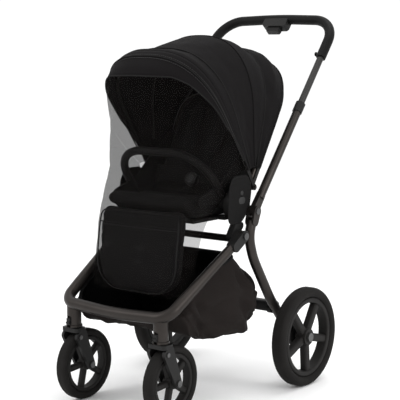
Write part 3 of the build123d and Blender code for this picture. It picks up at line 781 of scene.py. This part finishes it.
NET_TOP = 142


def net_top_grid(rows):
    """From the brim's own lower edge down to the first full section."""
    last = net_section(NET_TOP)
    grid = []
    for share in np.linspace(0, 1, rows):
        row = []
        for (x_end, up_end), (_, _, _, angle, x, up) in zip(last, brim_table[-1]):
            x = x * 0.997
            row.append(fan_point(angle + (NET_TOP - angle) * share, x + (x_end - x) * share,
                                 up + (up_end - up) * share ** 0.9))
        grid.append(row)
    return np.array(grid)


net_top = grid_piece("net_at_brim", net_top_grid(13), finish["net_mesh"])
fan_blend(net_top, NET_TOP, 131)
net_middle = net_band("net_over_opening", NET_TOP, 152, 11)
net_lap = net_band("net_over_bumper", 152, 178, 27)
net_leg = net_band("net_over_leg_rest", 178, 222, 45)
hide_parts("insect_net")
for piece, flat, share in ((net_top, (0.98, 0.14), 0.45), (net_middle, (0.80, 0.09), 0.55),
                           (net_lap, (0.72, 0.17), 0.56), (net_leg, (0.56, 0.25), 0.95)):
    cloth_sheet(piece, flat, share)
    # The net is left out of shadows and bounced light, to keep the hood's inside free of speckle.
    piece.visible_shadow = piece.visible_diffuse = False


# %% [markdown]
# ## Cushions
#
# A cushion is a closed bag blown up a little from inside. The recipe is a real one: make the
# slack shape, remesh it finely, let Blender's Cloth push it out with pressure, cap how
# far any point may move, and keep the result as a plain mesh.

# %% Inflate a pad
def inflate(piece, voxel=0.005, pressure=4.0, cap=0.009):
    """Turns a slack closed shape into a crowned cushion."""
    remesh = piece.modifiers.new("even_mesh", "REMESH")
    remesh.mode = "VOXEL"
    remesh.voxel_size = voxel
    remesh.use_smooth_shade = True
    apply_modifiers(piece)
    start = np.array([v.co for v in piece.data.vertices])
    cloth = piece.modifiers.new("pressure", "CLOTH")
    cloth.settings.use_pressure = True
    cloth.settings.uniform_pressure_force = pressure
    cloth.settings.effector_weights.gravity = 0.0
    cloth.settings.quality = 4
    cloth.collision_settings.use_collision = False
    scene = bpy.context.scene
    for step in range(1, 21):
        scene.frame_set(step)
    graph = bpy.context.evaluated_depsgraph_get()
    blown = np.array([v.co for v in piece.evaluated_get(graph).data.vertices])
    piece.modifiers.clear()
    scene.frame_set(1)
    move = blown - start
    reach = np.linalg.norm(move, axis=1, keepdims=True)
    capped = cap * np.tanh(reach / cap)
    result = start + move * (capped / np.maximum(reach, 1e-9))
    piece.data.vertices.foreach_set("co", result.astype(np.float32).ravel())
    piece.data.update()
    soften(piece)
    piece.data.polygons.foreach_set("use_smooth", [True] * len(piece.data.polygons))
    return piece


def slab(name, outline, place, low, high, material, crown=0.0, steps=5):
    """A closed slab: outline is (a, b) points, place turns (a, b, depth) into a point."""
    outline = np.asarray(outline, float)
    centre = outline.mean(axis=0)
    count = len(outline)
    points, faces = [], []
    for side, depth in ((0, low), (1, high)):
        for step in range(steps):
            share = 1 - step / steps
            lift = crown * (1 - share ** 2) * (1 if side else -1)
            for a, b in centre + (outline - centre) * share:
                points.append(place(a, b, depth + lift))
        points.append(place(*centre, depth + crown * (1 if side else -1)))
    block = steps * count + 1
    for side in (0, 1):
        base = side * block
        for step in range(steps - 1):
            for i in range(count):
                j = (i + 1) % count
                a, b = base + step * count + i, base + step * count + j
                face = (a, b, b + count, a + count)
                faces.append(face if side else tuple(reversed(face)))
        last = base + (steps - 1) * count
        for i in range(count):
            face = (last + i, last + (i + 1) % count, base + steps * count)
            faces.append(face if side else tuple(reversed(face)))
    for i in range(count):
        j = (i + 1) % count
        faces.append((i, j, block + j, block + i))
    return to_mesh(name, points, faces, material)


def rounded_outline(points, radii, arc=7):
    """Polygon with each corner replaced by an arc."""
    points = [np.array(p, float) for p in points]
    result = []
    for i, corner in enumerate(points):
        before, after = points[i - 1], points[(i + 1) % len(points)]
        radius = radii[i]
        to_before = (before - corner) / np.linalg.norm(before - corner)
        to_after = (after - corner) / np.linalg.norm(after - corner)
        if radius <= 0:
            result.append(corner)
            continue
        half = math.acos(float(np.clip(to_before @ to_after, -1, 1))) / 2
        reach = radius / math.tan(half)
        middle = (to_before + to_after) / np.linalg.norm(to_before + to_after)
        centre = corner + middle * radius / math.sin(half)
        start, end = corner + to_before * reach, corner + to_after * reach
        a0 = math.atan2(*(start - centre)[::-1])
        a1 = math.atan2(*(end - centre)[::-1])
        sweep = (a1 - a0 + math.pi) % (2 * math.pi) - math.pi
        for angle in a0 + sweep * np.linspace(0, 1, arc):
            result.append(centre + radius * np.array((math.cos(angle), math.sin(angle))))
    return np.array(result)


def dense(outline, step=0.012):
    """The same closed line with points about a step apart."""
    closed = np.vstack([outline, outline[:1]])
    count = max(8, int(length_along(closed)[-1] / step))
    return spread(closed, count, endpoint=False)


# %% [markdown]
# ### Seat, backrest and leg rest
#
# Each cushion fills the space of its CAD solid. The leg rest cover is the one in full view: a
# panel with piping round its edge and a seam across just under the knee.

# %% Places on the backrest and leg rest
RECLINE = joint_at["backrest_recline"]
BACK_TURN = math.radians(61.3)
BACK_UP = Vector((0, math.cos(BACK_TURN), math.sin(BACK_TURN)))
BACK_OUT = Vector((0, -math.sin(BACK_TURN), math.cos(BACK_TURN)))


def on_back(x, up, out):
    return tuple(RECLINE + Vector((x, 0, 0)) + BACK_UP * up + BACK_OUT * out)


# %% Back cushion
back_outline = dense(rounded_outline([(-0.146, 0.02), (0.146, 0.02), (0.142, 0.312), (-0.142, 0.312)],
                                     [0.02, 0.02, 0.055, 0.055]))
back_shape = slab("back_cushion", back_outline, on_back, 0.014, 0.034, finish["seat_fabric"])
back_cushion = wear(inflate(back_shape), "backrest", "seat_fabric")
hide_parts("backrest_pad")
print("back cushion faces:", len(back_cushion.data.polygons))

# %% Seat cushion
def profile_slab(name, profile, half, material):
    """A cushion from its side profile, drawn in towards both sides."""
    profile = dense(profile)
    centre = profile.mean(axis=0)
    stations = [(-1.0, 0.82), (-0.985, 0.93), (-0.95, 0.985), (-0.85, 1.0), (-0.4, 1.0), (0.0, 1.0),
                (0.4, 1.0), (0.85, 1.0), (0.95, 0.985), (0.985, 0.93), (1.0, 0.82)]
    points, faces = [], []
    count = len(profile)
    for share, size in stations:
        for y, z in centre + (profile - centre) * size:
            points.append((share * half, y, z))
    for s in range(len(stations) - 1):
        for i in range(count):
            j = (i + 1) % count
            faces.append((s * count + i, s * count + j, (s + 1) * count + j, (s + 1) * count + i))
    faces.append(tuple(reversed(range(count))))
    faces.append(tuple(range((len(stations) - 1) * count, len(stations) * count)))
    return to_mesh(name, points, faces, material, flip=True)


seat_profile = [(-0.240, 0.556), (-0.245, 0.566), (-0.240, 0.577), (-0.226, 0.580), (-0.15, 0.566),
                (-0.034, 0.556), (-0.026, 0.550), (-0.028, 0.526), (-0.20, 0.526), (-0.214, 0.549)]
seat_shape = profile_slab("seat_cushion", seat_profile, 0.146, finish["seat_fabric"])
seat_cushion = wear(inflate(seat_shape, cap=0.007), "seat", "seat_fabric")
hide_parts("seat_pad")

# %% Leg rest cover
LEG_TOP = Vector((0, -0.2415, 0.546))
LEG_LOW = Vector((0, -0.2665, 0.312))
LEG_DOWN = (LEG_LOW - LEG_TOP).normalized()
LEG_OUT = Vector((0, LEG_DOWN.z, -LEG_DOWN.y))
LEG_LENGTH = (LEG_LOW - LEG_TOP).length


def on_leg(x, down, out):
    bend = 0.006 * math.sin(math.pi * down / LEG_LENGTH)
    return tuple(LEG_TOP + Vector((x, 0, 0)) + LEG_DOWN * down + LEG_OUT * (out + bend))


def leg_panel(widths, start, end, corner, step):
    """Outline of the leg rest: three half widths, where it starts and ends, its lower corners."""
    right = list(zip(widths, (start, 0.05, end)))
    left = [(-x, down) for x, down in reversed(right)]
    return dense(rounded_outline(right + left, [0.02, 0, corner, corner, 0, 0.02], arc=12), step)


leg_outline = leg_panel((0.143, 0.148, 0.147), 0.0, LEG_LENGTH, 0.085, 0.012)
leg_shape = slab("leg_rest_cover", leg_outline, on_leg, -0.016, 0.010, finish["seat_fabric"])
leg_cover = wear(inflate(leg_shape, cap=0.007), "leg_rest", "seat_fabric")
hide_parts("leg_rest_pad", "leg_rest_panel")
edge = leg_panel((0.138, 0.142, 0.141), 0.012, LEG_LENGTH - 0.006, 0.080, 0.008)
edge_line = [on_leg(x, down, 0.0175) for x, down in edge]
piping("leg_rest_piping", edge_line, 0.0021, "leg_rest", "seat_fabric", closed=True)
knee_line = [on_leg(x, 0.046 + 0.002 * math.cos(x * 9), 0.0190) for x in np.linspace(-0.138, 0.138, 41)]
piping("leg_rest_seam", knee_line, 0.0014, "leg_rest", "seat_fabric")
stitch_row("leg_rest_stitches", [[Vector(p) + LEG_DOWN * 0.006 for p in knee_line]], "leg_rest",
           "seat_fabric")
print("leg rest length", round(LEG_LENGTH, 3))

# %% Cover where the seat meets the back
def joint_cover():
    """Cloth from the seat cushion's rear edge up on to the back cushion."""
    line = smooth_path([(0, -0.105, 0.5560), (0, -0.080, 0.5625), (0, -0.030, 0.5650),
                        on_back(0, 0.024, 0.036), on_back(0, 0.065, 0.0415)], 22)
    grid = [[(x, y, z + 0.004 * (abs(x) / 0.148) ** 6) for x in np.linspace(-0.148, 0.148, 31)]
            for _, y, z in line]
    piece = thicken(grid_piece("seat_joint_cover", grid, finish["seat_sheet"], flip=True), 0.0015)
    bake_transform(piece)
    cloth_sheet(piece, (0.30, 0.155), 1.0)
    return piece


joint_cover()

# %% [markdown]
# ### Side wings and harness
#
# Between the seat and the raised back a padded wing closes each side. The harness is flat
# webbing, modelled straight as tapes, with soft pads.

# %% Side wings
SIDES = ((1, "left"), (-1, "right"))


def side_slab(name, side, outline, place, low, high, crown, steps=5):
    """A soft slab on one side. The mirrored one comes out inside out, so its faces are flipped."""
    piece = slab(name, outline, place, low, high, finish["seat_fabric"], crown, steps)
    if side < 0:
        piece.data.flip_normals()
    return soften(piece)


def wing(side, word):
    """Padded cloth that closes the side between seat and back."""
    corners = [(-0.205, 0.552), (-0.205, 0.578), (-0.10, 0.612), (0.045, 0.742), (0.102, 0.745),
               (0.02, 0.565)]
    outline = dense(rounded_outline(corners, [0.008, 0.015, 0.05, 0.02, 0.02, 0.02]))

    def place(y, z, depth):
        return (side * (0.1515 + depth), y, z)

    piece = side_slab("seat_wing_" + word, side, outline, place, -0.001, 0.0055, 0.0015)
    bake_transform(piece)
    return piece


wings = [wing(*pair) for pair in SIDES]


def hub_cover(side, word):
    """Cloth skirt over the outside of the seat hub."""
    corners = [(-0.124, 0.500), (-0.062, 0.500), (-0.022, 0.536), (-0.012, 0.590), (-0.026, 0.634),
               (-0.100, 0.634), (-0.120, 0.600)]
    outline = dense(rounded_outline(corners, [0.02, 0.03, 0.03, 0.03, 0.02, 0.03, 0.04]), 0.008)

    def place(y, z, depth):
        reach = 1 - 0.45 * max(0.0, (z - 0.60) / 0.04) ** 1.5
        ruffle = ripple((y * 3, z * 2, side), 6.0, shift=6.0) * 0.0004
        return (side * (0.1898 + 0.0075 * reach + depth + ruffle), y, z)

    piece = side_slab("hub_cover_" + word, side, outline, place, 0.0, 0.0011, 0.0006, steps=9)
    wear(piece, "seat", "seat_fabric")
    centre = outline.mean(axis=0)
    seam = [place(y, z, 0.0012) for y, z in centre + (outline - centre) * 0.93]
    piping("hub_cover_piping_" + word, seam, 0.0007, "seat", "seat_fabric", closed=True)
    stud = swept("hub_snap_" + word, [(side * 0.1980, -0.060, 0.585), (side * 0.1998, -0.060, 0.585)],
                 0.0065, finish["button_plastic"], sides=20)
    wear(stud, "seat", "button_plastic")


for pair in SIDES:
    hub_cover(*pair)
print("wings:", [w.name for w in wings])

# %% Harness
def tape(name, path, width, body, normal, look="webbing", sides=12, thick=0.0016):
    """A flat band along a path. normal is the way its flat side faces."""
    piece = swept(name, path, width / 2, finish[look], sides=sides, flat=thick / width,
                  normals=np.tile(np.array(normal, float), (len(path), 1)))
    return wear(piece, body, look)


def on_back_line(side, places, count):
    """A smooth line through (x, up, out) places on the backrest, mirrored by side."""
    return smooth_path([on_back(side * x, up, out) for x, up, out in places], count)


for side, word in SIDES:
    shoulder = on_back_line(side, [(0.052, 0.275, 0.046), (0.050, 0.2, 0.0515), (0.040, 0.1, 0.052),
                                   (0.018, 0.04, 0.055)], 40)
    tape("shoulder_strap_" + word, shoulder, 0.025, "backrest", BACK_OUT)
    pad_path = on_back_line(side, [(0.052, 0.255, 0.050), (0.050, 0.2, 0.0555), (0.042, 0.115, 0.056)], 24)
    pad = tape("shoulder_pad_" + word, pad_path, 0.048, "backrest", BACK_OUT, "seat_fabric", 16, 0.01248)
    waist = on_back_line(side, [(0.132, 0.022, 0.040), (0.08, 0.026, 0.050), (0.022, 0.026, 0.053)], 24)
    strap = tape("waist_strap_" + word, waist, 0.025, "backrest", BACK_OUT)
    if side > 0:
        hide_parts("harness_straps")
print("harness made")

# %% Crotch strap
crotch = smooth_path([(0, -0.075, 0.5675), (0, -0.066, 0.570), (0, -0.058, 0.577), (0, -0.0505, 0.588)], 20)
strap = tape("crotch_strap_webbing", crotch, 0.030, "seat", (0, -0.7, 0.7))
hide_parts("crotch_strap")

# %% [markdown]
# ## Basket
#
# The basket is a slack bag hung on the chassis. It is lofted ring by ring from its rim
# to its floor, bulges at the sides, and has creases that run down from where it is held.

# %% Basket shell
RIM = [(-0.336, 0.272), (-0.300, 0.304), (-0.219, 0.360), (-0.180, 0.384), (-0.057, 0.409)]
STOPS = [0, 0.28, 0.55, 0.80, 1.0]
FLOOR_MIDDLE = np.array((0.0, -0.145, 0.190))


def basket_ring(level, count=220):
    """level 0 is the rim and 1 the middle of the floor."""
    ring = []
    power = 2 / 7.0
    for i in range(count):
        turn = 2 * math.pi * i / count
        c, s = math.cos(turn), math.sin(turn)
        across, ahead = np.sign(c) * abs(c) ** power, np.sign(s) * abs(s) ** power
        front, rear = max(0, -ahead), max(0, ahead)
        rim_y = -0.196 + ahead * 0.140
        rim = np.array((across * 0.187, rim_y, np.interp(rim_y, *zip(*RIM))))
        waist = np.array((across * (0.213 - 0.020 * front),
                          -0.165 + ahead * (0.165 if ahead < 0 else 0.205), 0.262 - 0.010 * ahead))
        low = np.array((across * 0.200, -0.140 + ahead * (0.160 if ahead < 0 else 0.132),
                        0.192 + 0.036 * front ** 2))
        bulge = 0.45 * rim + 0.55 * waist + np.array((across * 0.008, 0.030 * rear, 0))
        keys = np.array([rim, bulge, waist, low, FLOOR_MIDDLE])
        ring.append([np.interp(level, STOPS, column) for column in keys.T])
    return np.array(ring)


def basket_grid(levels=60):
    """The rings, smoothed, with creases pressed in from the rim down."""
    rings = np.array([basket_ring(level) for level in np.linspace(0, 1, levels)])
    for _ in range(5):
        rings[1:-1] = 0.25 * rings[:-2] + 0.5 * rings[1:-1] + 0.25 * rings[2:]
    for _ in range(5):
        rings[1:] = (0.25 * np.roll(rings, 1, 1) + 0.5 * rings + 0.25 * np.roll(rings, -1, 1))[1:]
    centre = np.array((0, -0.17, 0.30))
    for r in range(1, levels):
        depth = r / (levels - 1)
        for i in range(rings.shape[1]):
            p = rings[r, i]
            out = (p - centre) / np.linalg.norm(p - centre)
            fold = ripple(p, 14.0, (1, 1, 0.35), 2.0) + 0.6 * ripple(p, 26.0, (1, 0.9, 0.5), 7.0)
            fold -= 0.5 * abs(ripple(p, 18.0, (1, 1, 0.3), 5.0))
            slant = (p[0], p[1] + 0.7 * p[2], 0.4 * p[2] - 0.3 * p[1])
            fold += 1.1 * max(0.0, 1 - 2.6 * abs(ripple(slant, 15.0, (1, 1.3, 0.5), 11.0))) ** 1.6
            fold -= 0.7 * max(0.0, 1 - 3.0 * abs(ripple(slant, 24.0, (0.8, 1.2, 0.4), 17.0))) ** 1.6
            rings[r, i] = p + out * fold * 0.0125 * min(1, depth * 4) * min(1, (1 - depth) * 5)
    return rings


basket = grid_piece("basket_bag", basket_grid(), finish["basket_fabric"], close_rows=True, flip=True)
shell = bmesh.new()
shell.from_mesh(basket.data)
bmesh.ops.remove_doubles(shell, verts=shell.verts, dist=0.00001)
shell.to_mesh(basket.data)
shell.free()
thicken(basket, 0.0016, lining=finish["basket_lining"])
wear(basket, "chassis", "basket_fabric")
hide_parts("basket")
cloth_sheet(basket, (0.78, 0.72), 0.60)
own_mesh(basket)
rim_tape = swept("basket_rim_tape", basket_ring(0.0) + np.array((0, 0, 0.001)), 0.0045, finish["webbing"],
                 closed=True)
wear(rim_tape, "chassis", "webbing")
print("basket rings made")

# %% [markdown]
# ## Tyre tread
#
# Each tyre has a fine cross ribbed tread. One rib repeated round a circle is a job for
# Geometry Nodes: a circle of points, one low block on each, turned to face outwards.

# %% Tread with Geometry Nodes
TREAD, made = node_recipe(
    "tyre_tread",
    {"Radius": "Float", "Ribs": "Int", "Rib Size": "Vector", "Centre": "Vector", "Rubber": "Material"},
    "Tread",
    {"circle": "MeshCircle", "stand": "Transform", "position": "InputPosition",
     "block": "MeshCube", "place": "InstanceOnPoints", "real": "RealizeInstances",
     "move": "Transform", "paint": "SetMaterial"}, {"turn": ("pivot_axis", "X")},
    ["in.Radius > circle.Radius", "in.Ribs > circle.Vertices", "in.Rib Size > block.Size",
     "circle.Mesh > stand.Geometry", "stand.Geometry > place.Points",
     "position.Position > turn.Vector", "turn.Rotation > place.Rotation",
     "block.Mesh > place.Instance", "place.Instances > real.Geometry",
     "real.Geometry > move.Geometry", "in.Centre > move.Translation",
     "move.Geometry > paint.Geometry", "in.Rubber > paint.Material", "paint.Geometry > out.Tread"])
made["stand"].inputs["Rotation"].default_value = (0.0, math.pi / 2, 0.0)

for place, ribs, size in (("rear", 96, (0.022, 0.0048, 0.0016)), ("front", 72, (0.017, 0.0044, 0.0014))):
    for _, word in SIDES:
        low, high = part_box(f"{place}_tyre_{word}")
        seed = place_object(f"{place}_tread_{word}", bpy.data.meshes.new("tread_seed"))
        piece = grow(seed, TREAD, {
            "Radius": (high.z - low.z) / 2 - 0.0006, "Ribs": ribs, "Rib Size": size,
            "Centre": tuple((low + high) / 2), "Rubber": finish["tyre_foam"]})
        wear(piece, f"{place}_wheel_{word}", "tyre_foam")
print("tread ribs:", len(piece.data.polygons) // 6)

# %% Last lines
floor = grid_piece("floor", [[(-6, -6, 0), (6, -6, 0)], [(-6, 6, 0), (6, 6, 0)]],
                   rigid_finish("floor_paper", (0.98, 0.98, 0.98), 0.9, wear=0.004, grain=40.0,
                                specular=0.1))
